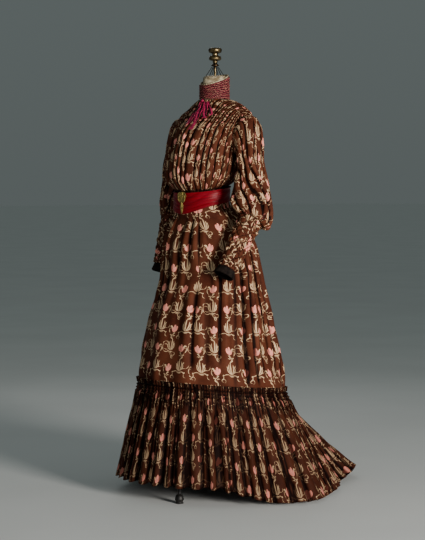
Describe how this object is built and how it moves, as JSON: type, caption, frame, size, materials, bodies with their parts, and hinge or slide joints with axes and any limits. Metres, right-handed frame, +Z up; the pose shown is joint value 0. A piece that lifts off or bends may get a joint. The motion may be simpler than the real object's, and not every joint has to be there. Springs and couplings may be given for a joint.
{
  "type": "day dress on a dress form",
  "caption": "Long-sleeved printed day dress with gathered bodice, satin belt, gored skirt and trained flounce, standing on a limbless form with an iron foot.",
  "frame": {"origin": "on the floor under the centre of the bounding box; the stand's pole stands on the line x = 0, y = -0.133 m", "axes": "+Z up, the dress faces -Y, the wearer's left is +X"},
  "size_m": [0.8377, 0.9562, 1.54],
  "materials": {
    "printed_silk": "dull brown silk, printed all over with small cream and pink sprigs",
    "wine_silk": "soft wine-red ribbon silk",
    "red_satin": "glossy red satin",
    "black_velvet": "dark pile edging",
    "gilt": "aged gilt metal",
    "ivory_cloth": "smooth ivory cover of the form",
    "cast_iron": "black cast iron"
  },
  "bodies": {
    "root": {"bodice_front": "printed_silk", "bodice_back": "printed_silk", "skirt_front": "printed_silk", "skirt_side_left": "printed_silk", "skirt_side_right": "printed_silk", "skirt_back_left": "printed_silk", "skirt_back_right": "printed_silk", "flounce_front": "printed_silk", "flounce_left": "printed_silk", "flounce_back": "printed_silk", "flounce_right": "printed_silk", "sleeve_upper_left": "printed_silk", "sleeve_upper_right": "printed_silk", "sleeve_lower_left": "printed_silk", "sleeve_lower_right": "printed_silk", "collar": "wine_silk", "tie_knot": "wine_silk", "tie_tail_left": "wine_silk", "tie_tail_right": "wine_silk", "tie_loop_front": "wine_silk", "tie_loop_back": "wine_silk", "belt": "red_satin", "cuff_left": "black_velvet", "cuff_right": "black_velvet", "buckle": "gilt", "form_neck_cap": "gilt", "knob": "gilt", "form_torso": "ivory_cloth", "stand_pole": "cast_iron", "stand_hub": "cast_iron", "stand_leg_1": "cast_iron", "stand_leg_2": "cast_iron", "stand_leg_3": "cast_iron", "stand_foot_1": "cast_iron", "stand_foot_2": "cast_iron", "stand_foot_3": "cast_iron", "strut_1": "cast_iron", "strut_2": "cast_iron", "strut_3": "cast_iron", "strut_4": "cast_iron", "strut_5": "cast_iron", "strut_6": "cast_iron"}
  },
  "joints": []
}
